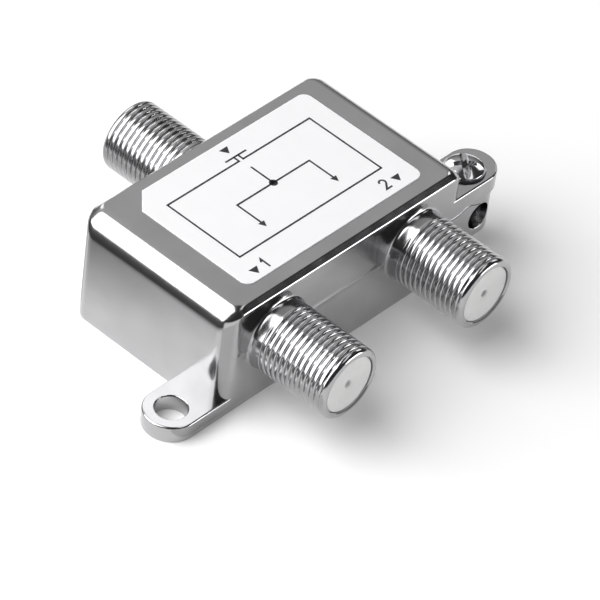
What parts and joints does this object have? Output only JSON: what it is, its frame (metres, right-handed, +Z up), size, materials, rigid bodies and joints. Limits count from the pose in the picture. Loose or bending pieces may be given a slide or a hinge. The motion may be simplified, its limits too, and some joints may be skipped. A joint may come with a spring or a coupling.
{
  "type": "coaxial splitter",
  "caption": "Small die cast coaxial splitter with threaded ports on two opposite sides, a fixing tab, and a ground lug with a clamp screw at the other end.",
  "frame": {"origin": "middle of the flat underside of the body", "axes": "+X along the long side towards the ground lug, +Y towards the input port, +Z up through the label"},
  "size_m": [0.0572, 0.048, 0.016],
  "materials": {
    "nickel_casting": "nickel plated zinc die casting, glossy",
    "cover_plate": "tinned steel sheet",
    "label_film": "white film with plain black marks",
    "screw_steel": "nickel plated steel",
    "white_plastic": "pale moulded plastic",
    "contact_metal": "plated spring bronze",
    "board_laminate": "glass cloth laminate",
    "ferrite": "matt dark ferrite",
    "copper_wire": "enamelled copper wire",
    "chip_ceramic": "ceramic chip"
  },
  "bodies": {
    "splitter": {"housing": "nickel_casting", "back_cover": "cover_plate", "label": "label_film", "circuit_board": "board_laminate", "matching_core": "ferrite", "matching_winding": "copper_wire", "splitting_core": "ferrite", "splitting_winding": "copper_wire", "balance_resistor": "chip_ceramic", "in_insulator": "white_plastic", "in_bush": "white_plastic", "in_contact": "contact_metal", "in_choke_core": "ferrite", "in_choke_coil": "copper_wire", "in_capacitor": "chip_ceramic", "out_1_insulator": "white_plastic", "out_1_bush": "white_plastic", "out_1_contact": "contact_metal", "out_1_choke_core": "ferrite", "out_1_choke_coil": "copper_wire", "out_1_capacitor": "chip_ceramic", "out_2_insulator": "white_plastic", "out_2_bush": "white_plastic", "out_2_contact": "contact_metal", "out_2_choke_core": "ferrite", "out_2_choke_coil": "copper_wire", "out_2_capacitor": "chip_ceramic"},
    "washer": {"ground_washer": "screw_steel"},
    "screw": {"ground_screw": "screw_steel"}
  },
  "joints": [
    {"name": "screw_lift", "type": "slide", "parent": "splitter", "child": "washer", "axis": [0, 0, 1], "range_m": [0, 0.003]},
    {"name": "screw_turn", "type": "hinge", "parent": "washer", "child": "screw", "pos_m": [0.02415, -0.00895, 0.0114], "axis": [0, 0, 1], "range_deg": [0, 2160]}
  ],
  "couplings": [
    {"joint": "screw_turn", "follows": "screw_lift", "rad_per_m": 12566}
  ]
}
